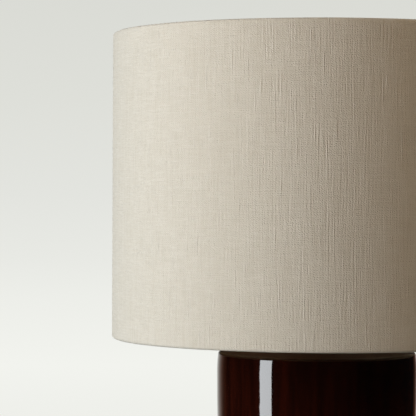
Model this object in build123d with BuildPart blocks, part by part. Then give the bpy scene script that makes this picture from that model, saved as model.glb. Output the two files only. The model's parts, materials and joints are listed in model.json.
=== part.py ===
from build123d import *

import os
from math import asin, atan2, cos, hypot, radians, sin, sqrt

# Table lamp in millimetres, +Z up, standing on z = 0 with its axis on Z.
# A glazed ceramic body is clamped on a threaded pipe, which also carries the socket and the harp.
# The drum shade hangs by its spider on the harp's screw post, under a finial.

# Ceramic body
body_r = 99.0
foot_r = 72.0
shoulder_z = 320.0
belly_drop = 19.0
crease_inset = 1.1
crease_round = 2.5
shoulder_rise = 17.0
shoulder_crown = 4.0
neck_r = 27.0
neck_height = 5.0
neck_hole_r = 8.0
collar_round = 3.0
neck_round = 1.5
wall = 7.0
floor_thickness = 8.0
foot_recess = 20.0
foot_ring_width = 14.0
foot_round = 3.0

# Felt under the foot ring
felt_thickness = 2.0
felt_margin = 4.0

# Threaded pipe and the hardware that clamps the body on it
pipe_r = 5.1
pipe_bore_r = 3.4
pipe_hole_gap = 1.2
thread_gap = 0.05
slip_gap = 0.3
bottom_washer_r = 24.0
bottom_washer_t = 2.0
lock_washer_r = 8.5
lock_washer_t = 1.2
lock_washer_slit = 1.5
bottom_nut_flats = 14.3
bottom_nut_t = 4.5
pipe_tail = 4.5
bushing_flange_t = 1.5
bushing_flange_lip = 1.2
bushing_wall = 0.8
bushing_spigot = 6.0
bushing_gap = 0.1

# Cord inlet at the back of the foot ring
inlet_bore_r = 3.5
inlet_wall = 2.0
inlet_flange_lip = 2.5
inlet_flange_t = 2.0
inlet_gap = 0.1
inlet_sink = 0.5
inlet_overrun = 1.5

# Brass cap and nut on the neck
neck_washer_t = 1.5
neck_cap_margin = 2.5
neck_cap_edge = 2.0
neck_cap_t = 8.0
neck_cap_top_r = 9.2
neck_nut_flats = 15.0
neck_nut_t = 4.0

# Harp
saddle_t = 1.6
saddle_width = 12.0
saddle_bend_r = 4.0
saddle_tab_height = 14.0
harp_leg_x = 28.0
harp_half_width = 56.0
harp_wire_r = 1.9
harp_sweep_angle = 40.0
ferrule_length = 16.0
ferrule_wall = 1.1
ferrule_gap = 0.2
ferrule_travel = 22.0
leg_spare = 3.0
harp_pad_r = 6.5
harp_pad_lip = 0.3

# Screw post on the harp
stud_head_r = 4.0
stud_head_t = 1.5
stud_shank_r = 2.3
stud_shank_gap = 0.1
stud_flange_r = 7.0
stud_flange_t = 2.5
stud_thread_r = 3.175
stud_engaged = 9.0

# Socket
cap_neck_r = 7.0
cap_neck_height = 9.0
cap_wall = 1.2
cap_rim_height = 10.0
cap_step = 1.5
set_screw_r = 1.5
set_screw_stand = 2.5
set_screw_slot = 0.6
fibre_ring_inner_r = 14.0
socket_shell_r = 17.0
socket_shell_t = 0.6
socket_shell_height = 48.0
shell_bead_r = 1.0
insulator_t = 0.8
insulator_drop = 1.0
socket_gap = 0.1
socket_core_r = 11.0
socket_flange_t = 3.0
socket_core_height = 18.0
socket_disc_t = 4.0
screw_shell_t = 0.6
screw_shell_drop = 2.0
screw_shell_hole_r = 6.0
contact_r = 4.5
contact_t = 2.5
terminal_head_r = 3.0
terminal_head_t = 2.0
terminal_shank_r = 1.5
terminal_depth = 5.0

# Switch
switch_drop = 6.0
switch_shaft_r = 2.0
switch_shaft_gap = 0.05
switch_shaft_depth = 7.0
switch_slot_gap = 1.5
knob_r = 6.5
knob_length = 15.0
knob_stand = 3.0
knob_sink = 10.0
knob_crown = 1.5
knob_flutes = 12
knob_flute_r = 0.9

# Bulb
bulb_r = 30.0
bulb_length = 108.0
bulb_glass_t = 1.0
bulb_cap_r = 13.0
bulb_cap_gap = 0.4
bulb_cap_height = 22.0
bulb_cap_t = 0.6
bulb_thread_pitch = 3.63
bulb_thread_r = 0.9
bulb_thread_depth = 0.6
bulb_thread_turns = 4
bulb_tip_r = 4.2
bulb_tip_t = 1.2
bulb_insulator_t = 3.8
bulb_insulator_r = 5.0
bulb_seat = 5.0
bulb_neck_straight = 3.0
bulb_neck_round = 20.0
led_board_t = 1.6
led_board_gap = 0.1
led_size = 3.0
led_height = 0.8
led_count = 6
led_circle_r = 6.5

# Drum shade
shade_r = 203.0
shade_height = 300.0
shade_lift = 14.8
fabric_t = 0.6
liner_t = 0.6
shade_wire_r = 1.3
spider_wire_r = 1.5
fabric_turn_in = 8.0
spider_recess = 25.5
spider_arms = 3
spider_arm_angle = 90.0
spider_rise_run = 16.0
spider_bend_r = 12.0
spider_washer_r = 13.0
spider_washer_t = 2.0
spider_overlap = 2.0
notch_gap = 1.4

# Finial
finial_washer_r = 8.0
finial_washer_t = 1.2
finial_base_r = 7.0
finial_base_t = 3.0
finial_waist_r = 4.8
finial_waist_t = 4.0
finial_ball_r = 9.5
finial_hole_spare = 1.0

# Heights from the table up
foot_z = felt_thickness
recess_top_z = foot_z + foot_recess
floor_z = recess_top_z + floor_thickness
belly_z = shoulder_z - belly_drop
collar_z = shoulder_z + shoulder_rise
neck_z = collar_z + neck_height
neck_cap_z = neck_z + neck_washer_t
neck_nut_z = neck_cap_z + neck_cap_t
saddle_z = neck_nut_z + neck_nut_t
socket_z = saddle_z + saddle_t
shade_bottom_z = shoulder_z + shade_lift
shade_top_z = shade_bottom_z + shade_height

# Taper of the body's side, one arc that stands upright at the belly
side_inset = body_r - foot_r
side_run = belly_z - foot_z
side_arc_r = (side_inset**2 + side_run**2) / (2 * side_inset)
crease_r = body_r - crease_inset
recess_r = foot_r - foot_ring_width
pick = 0.01


def side_r(z, depth=0.0):
    """Radius at height z of the tapering side, or of a surface that far inside it."""
    return body_r - side_arc_r + sqrt((side_arc_r - depth) ** 2 - (belly_z - z) ** 2)


# Cord inlet: a flat seat cut into the side, just deep enough for the whole flange
inlet_z = foot_z + foot_recess / 2
inlet_barrel_r = inlet_bore_r + inlet_wall
inlet_flange_r = inlet_barrel_r + inlet_flange_lip
inlet_seat_y = sqrt(side_r(inlet_z - inlet_flange_r) ** 2 - inlet_flange_r**2) - inlet_sink
inlet_plane = Plane(origin=(0, inlet_seat_y, inlet_z), x_dir=(1, 0, 0), z_dir=(0, 1, 0))
inlet_depth = inlet_seat_y - recess_r

with BuildPart() as ceramic_body:
    with BuildSketch(Plane.XZ):
        with BuildLine():
            TangentArc((body_r, belly_z), (foot_r, foot_z), tangent=(0, -1))
            Polyline((foot_r, foot_z), (0, foot_z), (0, neck_z), (neck_r, neck_z), (neck_r, collar_z))
            SagittaArc((neck_r, collar_z), (crease_r, shoulder_z), shoulder_crown)
            TangentArc((body_r, belly_z), (crease_r, shoulder_z), tangent=(0, 1))
        make_face()
    revolve(axis=Axis.Z)
    for z, radius in (
        (shoulder_z, crease_round), (collar_z, collar_round), (neck_z, neck_round), (foot_z, foot_round),
    ):
        fillet(ceramic_body.edges().filter_by_position(Axis.Z, z - pick, z + pick), radius)
    # Hollow inside, an even wall away from the outer face
    with BuildSketch(Plane.XZ):
        with BuildLine():
            floor_edge = (side_r(floor_z, wall), floor_z)
            roof_edge = (neck_r, collar_z - wall)
            crease_inside = (crease_r - wall, shoulder_z - wall)
            TangentArc((body_r - wall, belly_z), floor_edge, tangent=(0, -1))
            Polyline(floor_edge, (0, floor_z), (0, collar_z - wall), roof_edge)
            SagittaArc(roof_edge, crease_inside, shoulder_crown)
            Line(crease_inside, (body_r - wall, belly_z))
        make_face()
    revolve(axis=Axis.Z, mode=Mode.SUBTRACT)
    # Neck hole, pipe hole and the recess inside the foot ring
    with BuildSketch(Plane.XY.offset(neck_z)):
        Circle(neck_hole_r)
    extrude(amount=floor_z - neck_z, mode=Mode.SUBTRACT)
    with BuildSketch(Plane.XY.offset(foot_z)):
        Circle(pipe_r + pipe_hole_gap)
    extrude(amount=floor_z - foot_z, mode=Mode.SUBTRACT)
    with BuildSketch(Plane.XY.offset(foot_z)):
        Circle(recess_r)
    extrude(amount=foot_recess, mode=Mode.SUBTRACT)
    # Cord inlet through the foot ring, with its flat seat
    with BuildSketch(inlet_plane):
        Circle(inlet_barrel_r + inlet_gap)
    extrude(amount=-inlet_depth - foot_ring_width, mode=Mode.SUBTRACT)
    with BuildSketch(inlet_plane):
        Circle(inlet_flange_r + inlet_gap)
    extrude(amount=foot_ring_width, mode=Mode.SUBTRACT)
ceramic_body.part.label = "ceramic_body"

with BuildPart() as felt_pad:
    with BuildSketch():
        Circle(foot_r - felt_margin)
    extrude(amount=felt_thickness)
felt_pad.part.label = "felt_pad"

with BuildPart() as cord_grommet:
    with BuildSketch(inlet_plane):
        Circle(inlet_flange_r)
    extrude(amount=inlet_flange_t)
    with BuildSketch(inlet_plane):
        Circle(inlet_barrel_r)
    extrude(amount=-inlet_depth - inlet_overrun)
    with BuildSketch(inlet_plane.offset(inlet_flange_t)):
        Circle(inlet_bore_r)
    extrude(amount=-inlet_depth - inlet_overrun - inlet_flange_t, mode=Mode.SUBTRACT)
    fillet(cord_grommet.edges().filter_by(GeomType.CIRCLE).group_by(Axis.Y)[-1], inlet_flange_t / 3)
cord_grommet.part.label = "cord_grommet"

# Clamp at the foot, stacked downwards from the recess
bottom_washer_z = recess_top_z - bottom_washer_t
lock_washer_z = bottom_washer_z - lock_washer_t
bottom_nut_z = lock_washer_z - bottom_nut_t
pipe_bottom_z = bottom_nut_z - pipe_tail
pipe_top_z = socket_z + cap_neck_height

with BuildPart() as bottom_washer:
    with BuildSketch(Plane.XY.offset(bottom_washer_z)):
        Circle(bottom_washer_r)
        Circle(pipe_r + slip_gap, mode=Mode.SUBTRACT)
    extrude(amount=bottom_washer_t)
bottom_washer.part.label = "bottom_washer"

with BuildPart() as bottom_lock_washer:
    with BuildSketch(Plane.XY.offset(lock_washer_z)):
        Circle(lock_washer_r)
        Circle(pipe_r + slip_gap, mode=Mode.SUBTRACT)
        with Locations((lock_washer_r / 2, 0)):
            Rectangle(lock_washer_r, lock_washer_slit, rotation=20, mode=Mode.SUBTRACT)
    extrude(amount=lock_washer_t)
bottom_lock_washer.part.label = "bottom_lock_washer"


def hex_nut(z, flats, thickness):
    """Hexagon nut on the pipe with its lower face at height z and its corners turned off."""
    with BuildPart() as nut:
        with BuildSketch(Plane.XY.offset(z)):
            RegularPolygon(flats / 2, 6, major_radius=False)
        extrude(amount=thickness)
        with BuildSketch(Plane.XY.offset(z)):
            Circle(flats / 2 + thickness)
        extrude(amount=thickness, taper=45, mode=Mode.INTERSECT)
        with BuildSketch(Plane.XY.offset(z)):
            Circle(pipe_r + thread_gap)
        extrude(amount=thickness, mode=Mode.SUBTRACT)
    return nut


bottom_nut = hex_nut(bottom_nut_z, bottom_nut_flats, bottom_nut_t)
bottom_nut.part.label = "bottom_nut"

with BuildPart() as lamp_pipe:
    with BuildSketch(Plane.XY.offset(pipe_bottom_z)):
        Circle(pipe_r)
        Circle(pipe_bore_r, mode=Mode.SUBTRACT)
    extrude(amount=pipe_top_z - pipe_bottom_z)
lamp_pipe.part.label = "lamp_pipe"

with BuildPart() as pipe_bushing:
    with BuildSketch(Plane.XY.offset(pipe_bottom_z)):
        Circle(pipe_r + bushing_flange_lip)
    extrude(amount=-bushing_flange_t)
    with BuildSketch(Plane.XY.offset(pipe_bottom_z)):
        Circle(pipe_bore_r - bushing_gap)
    extrude(amount=bushing_spigot)
    with BuildSketch(Plane.XY.offset(pipe_bottom_z - bushing_flange_t)):
        Circle(pipe_bore_r - bushing_gap - bushing_wall)
    extrude(amount=bushing_flange_t + bushing_spigot, mode=Mode.SUBTRACT)
    fillet(pipe_bushing.edges().group_by(Axis.Z)[0], bushing_flange_t / 3)
pipe_bushing.part.label = "pipe_bushing"

# Neck stack
neck_cap_r = neck_r - neck_cap_margin

with BuildPart() as neck_washer:
    with BuildSketch(Plane.XY.offset(neck_z)):
        Circle(neck_cap_r)
        Circle(pipe_r + slip_gap, mode=Mode.SUBTRACT)
    extrude(amount=neck_washer_t)
neck_washer.part.label = "neck_washer"

with BuildPart() as neck_cap:
    with BuildSketch(Plane.XZ):
        with BuildLine():
            hole = pipe_r + slip_gap
            shelf = neck_cap_z + neck_cap_edge
            Polyline((neck_cap_r, shelf), (neck_cap_r, neck_cap_z), (hole, neck_cap_z), (hole, neck_nut_z))
            Line((hole, neck_nut_z), (neck_cap_top_r, neck_nut_z))
            TangentArc((neck_cap_top_r, neck_nut_z), (neck_cap_r, shelf), tangent=(1, 0))
        make_face()
    revolve(axis=Axis.Z)
neck_cap.part.label = "neck_cap"

neck_nut = hex_nut(neck_nut_z, neck_nut_flats, neck_nut_t)
neck_nut.part.label = "neck_nut"

# Harp saddle: a bent strip with a round post at each end
tab_top_z = saddle_z + saddle_tab_height
joint_z = tab_top_z + ferrule_length / 2

with BuildPart() as harp_saddle:
    with BuildSketch(Plane.XZ):
        with BuildLine():
            half = harp_leg_x + saddle_t / 2
            strip = FilletPolyline(
                (-half, tab_top_z), (-half, saddle_z), (half, saddle_z), (half, tab_top_z),
                radius=saddle_bend_r,
            )
            inner = FilletPolyline(
                (-half + saddle_t, tab_top_z), (-half + saddle_t, socket_z),
                (half - saddle_t, socket_z), (half - saddle_t, tab_top_z),
                radius=saddle_bend_r - saddle_t,
            )
            Line(strip @ 0, inner @ 0)
            Line(strip @ 1, inner @ 1)
        make_face()
    extrude(amount=saddle_width / 2, both=True)
    with BuildSketch(Plane.XY.offset(tab_top_z - saddle_width / 2)):
        with Locations((-harp_leg_x, 0), (harp_leg_x, 0)):
            Circle(harp_wire_r)
    extrude(amount=joint_z - tab_top_z + saddle_width / 2)
    with BuildSketch(Plane.XY.offset(saddle_z)):
        Circle(pipe_r + slip_gap)
    extrude(amount=saddle_t, mode=Mode.SUBTRACT)
harp_saddle.part.label = "harp_saddle"

# Harp hoop: straight legs that swing out in two equal bends, then an arch with a drilled pad on top
harp_pad_t = 2 * (harp_wire_r + harp_pad_lip)
pad_top_z = shade_top_z - spider_recess - spider_washer_t - stud_flange_t
pad_z = pad_top_z - harp_pad_t
arch_z = pad_top_z - harp_pad_t / 2 - harp_half_width
leg_top_z = joint_z + ferrule_length / 2 + ferrule_travel + leg_spare
sweep_r = (harp_half_width - harp_leg_x) / (2 * (1 - cos(radians(harp_sweep_angle))))
sweep_top_z = leg_top_z + 2 * sweep_r * sin(radians(harp_sweep_angle))

with BuildPart() as harp_hoop:
    with BuildLine(Plane.XZ) as hoop_path:
        Line((harp_leg_x, joint_z), (harp_leg_x, leg_top_z))
        swing = JernArc((harp_leg_x, leg_top_z), (0, 1), sweep_r, -harp_sweep_angle)
        JernArc(swing @ 1, swing % 1, sweep_r, harp_sweep_angle)
        Line((harp_half_width, sweep_top_z), (harp_half_width, arch_z))
        CenterArc((0, arch_z), harp_half_width, 0, 90)
        mirror(about=Plane.YZ)
    with BuildSketch(Plane.XY.offset(joint_z)):
        with Locations((harp_leg_x, 0)):
            Circle(harp_wire_r)
    sweep(path=hoop_path.wire())
    with BuildSketch(Plane.XY.offset(pad_z)):
        Circle(harp_pad_r)
    extrude(amount=harp_pad_t)
    with BuildSketch(Plane.XY.offset(pad_z)):
        Circle(stud_shank_r + stud_shank_gap)
    extrude(amount=harp_pad_t, mode=Mode.SUBTRACT)
harp_hoop.part.label = "harp_hoop"


def harp_ferrule(x):
    """Sleeve over the joint between a saddle post and a harp leg."""
    with BuildPart() as ferrule:
        with BuildSketch(Plane(origin=(x, 0, tab_top_z))):
            Circle(harp_wire_r + ferrule_gap + ferrule_wall)
            Circle(harp_wire_r + ferrule_gap, mode=Mode.SUBTRACT)
        extrude(amount=ferrule_length)
        outside = ferrule.faces().filter_by(GeomType.CYLINDER).sort_by(SortBy.AREA)[-1]
        chamfer(outside.edges(), ferrule_wall / 3)
    return ferrule


harp_ferrule_left = harp_ferrule(-harp_leg_x)
harp_ferrule_left.part.label = "harp_ferrule_left"
harp_ferrule_right = harp_ferrule(harp_leg_x)
harp_ferrule_right.part.label = "harp_ferrule_right"

# Screw post that turns in the harp's pad and carries the spider
spider_z = pad_top_z + stud_flange_t
finial_washer_z = spider_z + spider_washer_t
finial_z = finial_washer_z + finial_washer_t
stud_top_z = finial_z + stud_engaged

with BuildPart() as harp_stud:
    with BuildSketch(Plane.XY.offset(pad_z - stud_head_t)):
        Circle(stud_head_r)
    extrude(amount=stud_head_t)
    with BuildSketch(Plane.XY.offset(pad_z)):
        Circle(stud_shank_r)
    extrude(amount=harp_pad_t)
    with BuildSketch(Plane.XY.offset(pad_top_z)):
        Circle(stud_flange_r)
    extrude(amount=stud_flange_t)
    with BuildSketch(Plane.XY.offset(spider_z)):
        Circle(stud_thread_r)
    extrude(amount=stud_top_z - spider_z)
    chamfer(harp_stud.edges().group_by(Axis.Z)[-1], stud_thread_r / 5)
harp_stud.part.label = "harp_stud"

# Socket, stacked upwards from the saddle
cap_rim_inner_r = socket_shell_r + socket_gap
cap_rim_r = cap_rim_inner_r + cap_wall
cap_bowl_r = cap_rim_r - cap_neck_r
cap_bowl_z = socket_z + cap_neck_height + cap_bowl_r
cap_step_z = cap_bowl_z - cap_step
shell_z = cap_step_z + cap_step
bowl_inner_r = cap_bowl_r - cap_wall
set_screw_z = socket_z + cap_neck_height / 2

with BuildPart() as socket_cap:
    with BuildSketch(Plane.XZ):
        with BuildLine():
            bore = pipe_r + thread_gap
            step_r = cap_neck_r + sqrt(bowl_inner_r**2 - cap_step**2)
            rim_z = cap_bowl_z + cap_rim_height
            inner_floor_z = cap_bowl_z - bowl_inner_r
            Line((bore, socket_z), (cap_neck_r, socket_z))
            Line((cap_neck_r, socket_z), (cap_neck_r, cap_bowl_z - cap_bowl_r))
            TangentArc((cap_rim_r, cap_bowl_z), (cap_neck_r, cap_bowl_z - cap_bowl_r), tangent=(0, -1))
            Polyline((cap_rim_r, cap_bowl_z), (cap_rim_r, rim_z), (cap_rim_inner_r, rim_z))
            Polyline((cap_rim_inner_r, rim_z), (cap_rim_inner_r, cap_step_z), (step_r, cap_step_z))
            RadiusArc((step_r, cap_step_z), (cap_neck_r, inner_floor_z), bowl_inner_r)
            Polyline((cap_neck_r, inner_floor_z), (bore, inner_floor_z), (bore, socket_z))
        make_face()
    revolve(axis=Axis.Z)
    with BuildSketch(Plane(origin=(0, 0, set_screw_z), x_dir=(1, 0, 0), z_dir=(0, 1, 0))):
        Circle(set_screw_r + thread_gap)
    extrude(amount=cap_neck_r + set_screw_stand, mode=Mode.SUBTRACT)
socket_cap.part.label = "socket_cap"

with BuildPart() as cap_set_screw:
    screw_tip_y = pipe_r + thread_gap
    screw_end_y = cap_neck_r + set_screw_stand
    with BuildSketch(Plane(origin=(0, screw_tip_y, set_screw_z), x_dir=(1, 0, 0), z_dir=(0, 1, 0))):
        Circle(set_screw_r)
    extrude(amount=screw_end_y - screw_tip_y)
    with BuildSketch(Plane(origin=(0, screw_end_y, set_screw_z), x_dir=(1, 0, 0), z_dir=(0, 1, 0))):
        Rectangle(3 * set_screw_r, set_screw_slot)
    extrude(amount=-set_screw_r, mode=Mode.SUBTRACT)
cap_set_screw.part.label = "cap_set_screw"

with BuildPart() as socket_fibre_ring:
    with BuildSketch(Plane.XY.offset(cap_step_z)):
        Circle(socket_shell_r)
        Circle(fibre_ring_inner_r, mode=Mode.SUBTRACT)
    extrude(amount=cap_step)
socket_fibre_ring.part.label = "socket_fibre_ring"

insulator_r = socket_shell_r - socket_shell_t - socket_gap
socket_disc_r = insulator_r - insulator_t - socket_gap
core_z = shell_z + socket_flange_t
disc_z = core_z + socket_core_height
disc_top_z = disc_z + socket_disc_t
shell_top_z = shell_z + socket_shell_height
insulator_top_z = shell_top_z - insulator_drop
switch_z = disc_z - switch_drop
slot_half = switch_shaft_r + switch_slot_gap
switch_plane = Plane(origin=(0, 0, switch_z), x_dir=(1, 0, 0), z_dir=(0, -1, 0))


def socket_sleeve(radius, thickness, top_z):
    """Tube round the socket's works, slotted at the front from its lower edge up past the switch shaft."""
    with BuildPart() as sleeve:
        with BuildSketch(Plane.XY.offset(shell_z)):
            Circle(radius)
            Circle(radius - thickness, mode=Mode.SUBTRACT)
        extrude(amount=top_z - shell_z)
        with BuildSketch(switch_plane):
            Circle(slot_half)
            with Locations((0, (shell_z - switch_z) / 2)):
                Rectangle(2 * slot_half, switch_z - shell_z)
        extrude(amount=radius + thickness, mode=Mode.SUBTRACT)
    return sleeve


socket_insulator = socket_sleeve(insulator_r, insulator_t, insulator_top_z)
socket_insulator.part.label = "socket_insulator"

with BuildPart() as socket_shell:
    add(socket_sleeve(socket_shell_r, socket_shell_t, shell_top_z).part)
    with BuildSketch(Plane.XZ):
        with Locations((socket_shell_r, shell_top_z - shell_bead_r)):
            Circle(shell_bead_r)
        with Locations((socket_shell_r - socket_shell_t - shell_bead_r, shell_top_z - shell_bead_r)):
            Rectangle(2 * shell_bead_r, 2 * shell_bead_r, mode=Mode.SUBTRACT)
    revolve(axis=Axis.Z)
socket_shell.part.label = "socket_shell"


def terminal_plane(side):
    """Plane on the side of the socket's core, facing outwards, at the switch's height."""
    return Plane(origin=(side * socket_core_r, 0, switch_z), x_dir=(0, 1, 0), z_dir=(side, 0, 0))


with BuildPart() as socket_body:
    with BuildSketch(Plane.XY.offset(shell_z)):
        Circle(socket_disc_r)
    extrude(amount=socket_flange_t)
    with BuildSketch(Plane.XY.offset(core_z)):
        Circle(socket_core_r)
    extrude(amount=socket_core_height)
    with BuildSketch(Plane.XY.offset(disc_z)):
        Circle(socket_disc_r)
    extrude(amount=socket_disc_t)
    with BuildSketch(switch_plane.offset(socket_core_r - switch_shaft_depth)):
        Circle(switch_shaft_r + switch_shaft_gap)
    extrude(amount=switch_shaft_depth, mode=Mode.SUBTRACT)
    for side in (-1, 1):
        with BuildSketch(terminal_plane(side)):
            Circle(terminal_shank_r + thread_gap)
        extrude(amount=-terminal_depth, mode=Mode.SUBTRACT)
socket_body.part.label = "socket_body"

with BuildPart() as terminal_screws:
    for side in (-1, 1):
        with BuildSketch(terminal_plane(side)):
            Circle(terminal_head_r)
        extrude(amount=terminal_head_t)
        with BuildSketch(terminal_plane(side)):
            Circle(terminal_shank_r)
        extrude(amount=-terminal_depth)
        with BuildSketch(terminal_plane(side).offset(terminal_head_t)):
            Rectangle(2 * terminal_head_r, set_screw_slot)
        extrude(amount=-terminal_head_t / 2, mode=Mode.SUBTRACT)
terminal_screws.part.label = "terminal_screws"

# Screw shell and contact that take the bulb
screw_shell_inner_r = bulb_cap_r + bulb_cap_gap
screw_shell_r = screw_shell_inner_r + screw_shell_t

with BuildPart() as screw_shell:
    with BuildSketch(Plane.XY.offset(disc_top_z)):
        Circle(screw_shell_r)
        Circle(screw_shell_hole_r, mode=Mode.SUBTRACT)
    extrude(amount=screw_shell_t)
    with BuildSketch(Plane.XY.offset(disc_top_z)):
        Circle(screw_shell_r)
        Circle(screw_shell_inner_r, mode=Mode.SUBTRACT)
    extrude(amount=insulator_top_z - screw_shell_drop - disc_top_z)
screw_shell.part.label = "screw_shell"

with BuildPart() as center_contact:
    with BuildSketch(Plane.XY.offset(disc_top_z)):
        Circle(contact_r)
    extrude(amount=contact_t)
    chamfer(center_contact.edges().group_by(Axis.Z)[-1], contact_t / 3)
center_contact.part.label = "center_contact"

# Switch
knob_face = socket_shell_r + knob_stand

with BuildPart() as switch_shaft:
    with BuildSketch(switch_plane.offset(socket_core_r - switch_shaft_depth)):
        Circle(switch_shaft_r)
    extrude(amount=knob_face + knob_sink - socket_core_r + switch_shaft_depth)
switch_shaft.part.label = "switch_shaft"

with BuildPart() as switch_knob:
    with BuildSketch(switch_plane.offset(knob_face)):
        Circle(knob_r)
    extrude(amount=knob_length)
    fillet(switch_knob.edges().group_by(Axis.Y)[0], knob_crown)
    with BuildSketch(switch_plane.offset(knob_face)):
        with PolarLocations(knob_r, knob_flutes):
            Circle(knob_flute_r)
    extrude(amount=knob_length, mode=Mode.SUBTRACT)
    with BuildSketch(switch_plane.offset(knob_face)):
        Circle(switch_shaft_r + switch_shaft_gap)
    extrude(amount=knob_sink, mode=Mode.SUBTRACT)
switch_knob.part.label = "switch_knob"

# Bulb, standing on the contact
bulb_z = disc_top_z + contact_t
bulb_insulator_z = bulb_z + bulb_tip_t
bulb_cap_z = bulb_insulator_z + bulb_insulator_t
bulb_cap_top_z = bulb_cap_z + bulb_cap_height
bulb_groove_r = bulb_cap_r - bulb_thread_depth
bulb_cap_inner_r = bulb_groove_r - bulb_cap_t

with BuildPart() as bulb_tip:
    with BuildSketch(Plane.XY.offset(bulb_z)):
        Circle(bulb_tip_r)
    extrude(amount=bulb_tip_t)
    chamfer(bulb_tip.edges().group_by(Axis.Z)[0], bulb_tip_t / 3)
bulb_tip.part.label = "bulb_tip"

with BuildPart() as bulb_insulator:
    with BuildSketch(Plane.XY.offset(bulb_insulator_z)):
        Circle(bulb_insulator_r)
    with BuildSketch(Plane.XY.offset(bulb_cap_z)):
        Circle(bulb_cap_inner_r)
    loft()
    with BuildSketch(Plane.XY.offset(bulb_cap_z)):
        Circle(bulb_cap_inner_r)
    extrude(amount=bulb_insulator_t / 2)
bulb_insulator.part.label = "bulb_insulator"

with BuildPart() as bulb_cap:
    with BuildSketch(Plane.XY.offset(bulb_cap_z)):
        Circle(bulb_groove_r)
    extrude(amount=bulb_cap_height)
    with BuildSketch(Plane.XZ):
        with GridLocations(0, bulb_thread_pitch, 1, bulb_thread_turns):
            with Locations((bulb_cap_r - bulb_thread_r, bulb_cap_z + bulb_cap_height / 2)):
                Circle(bulb_thread_r)
    revolve(axis=Axis.Z)
    with BuildSketch(Plane.XY.offset(bulb_cap_z)):
        Circle(bulb_cap_inner_r)
    extrude(amount=bulb_cap_height, mode=Mode.SUBTRACT)
bulb_cap.part.label = "bulb_cap"

# Glass: a straight neck, a cone tangent to the round end, and the round end itself
bulb_neck_r = bulb_cap_inner_r - led_board_gap
bulb_neck_z = bulb_cap_top_z - bulb_seat
bulb_flare_z = bulb_cap_top_z + bulb_neck_straight
bulb_center_z = bulb_z + bulb_length - bulb_r
flare_reach = bulb_center_z - bulb_flare_z
flare_angle = asin(bulb_r / hypot(flare_reach, bulb_neck_r)) - atan2(bulb_neck_r, flare_reach)
flare_end = (bulb_r * cos(flare_angle), bulb_center_z - bulb_r * sin(flare_angle))

with BuildPart() as bulb_glass:
    with BuildSketch(Plane.XZ) as glass_profile:
        with BuildLine():
            Polyline((0, bulb_neck_z), (bulb_neck_r, bulb_neck_z), (bulb_neck_r, bulb_flare_z), flare_end)
            ThreePointArc(flare_end, (bulb_r, bulb_center_z), (0, bulb_center_z + bulb_r))
            Line((0, bulb_center_z + bulb_r), (0, bulb_neck_z))
        make_face()
        fillet(glass_profile.vertices().sort_by_distance((bulb_neck_r, bulb_flare_z))[0], bulb_neck_round)
    revolve(axis=Axis.Z)
    offset(amount=-bulb_glass_t, openings=bulb_glass.faces().sort_by(Axis.Z)[0])
bulb_glass.part.label = "bulb_glass"

led_board_z = bulb_flare_z - led_board_t

with BuildPart() as bulb_led_board:
    with BuildSketch(Plane.XY.offset(led_board_z)):
        Circle(bulb_neck_r - bulb_glass_t - led_board_gap)
    extrude(amount=led_board_t)
bulb_led_board.part.label = "bulb_led_board"

with BuildPart() as bulb_leds:
    with BuildSketch(Plane.XY.offset(bulb_flare_z)):
        with PolarLocations(led_circle_r, led_count):
            Rectangle(led_size, led_size)
    extrude(amount=led_height)
bulb_leds.part.label = "bulb_leds"

# Drum shade: linen over a stiff liner, rolled round a wire ring at each end and turned in
fabric_inner_r = shade_r - fabric_t
liner_inner_r = fabric_inner_r - liner_t
turn_in_r = liner_inner_r - fabric_t
shade_ring_r = liner_inner_r - shade_wire_r
roll_inner = shade_wire_r + liner_t
roll_outer = roll_inner + fabric_t
top_ring_z = shade_top_z - roll_outer
bottom_ring_z = shade_bottom_z + roll_outer


def shade_ring(z):
    """Wire ring at one end of the shade."""
    with BuildPart() as ring:
        with BuildSketch(Plane.XZ):
            with Locations((shade_ring_r, z)):
                Circle(shade_wire_r)
        revolve(axis=Axis.Z)
    return ring


shade_top_ring = shade_ring(top_ring_z)
shade_top_ring.part.label = "shade_top_ring"
shade_bottom_ring = shade_ring(bottom_ring_z)
shade_bottom_ring.part.label = "shade_bottom_ring"

with BuildPart() as shade_liner:
    with BuildSketch(Plane.XY.offset(bottom_ring_z)):
        Circle(fabric_inner_r)
        Circle(liner_inner_r, mode=Mode.SUBTRACT)
    extrude(amount=top_ring_z - bottom_ring_z)
shade_liner.part.label = "shade_liner"


def arm_plane(index):
    """Upright plane through the lamp's axis along one spider arm."""
    angle = radians(spider_arm_angle + index * 360 / spider_arms)
    return Plane(origin=(0, 0, 0), x_dir=(cos(angle), sin(angle), 0), z_dir=(sin(angle), -cos(angle), 0))


spider_mid_z = spider_z + spider_washer_t / 2

with BuildPart() as shade_spider:
    for index in range(spider_arms):
        with BuildLine(arm_plane(index)) as arm_path:
            FilletPolyline(
                (spider_washer_r - spider_overlap, spider_mid_z),
                (shade_ring_r - spider_rise_run, spider_mid_z),
                (shade_ring_r, top_ring_z),
                radius=spider_bend_r,
            )
        with BuildSketch(Plane(origin=arm_path.wire() @ 0, z_dir=arm_path.wire() % 0)):
            Circle(spider_wire_r)
        sweep(path=arm_path.wire())
    with BuildSketch(Plane.XY.offset(spider_z)):
        Circle(spider_washer_r)
        Circle(stud_thread_r + slip_gap, mode=Mode.SUBTRACT)
    extrude(amount=spider_washer_t)
    add(shade_top_ring.part, mode=Mode.SUBTRACT)
shade_spider.part.label = "shade_spider"

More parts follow.
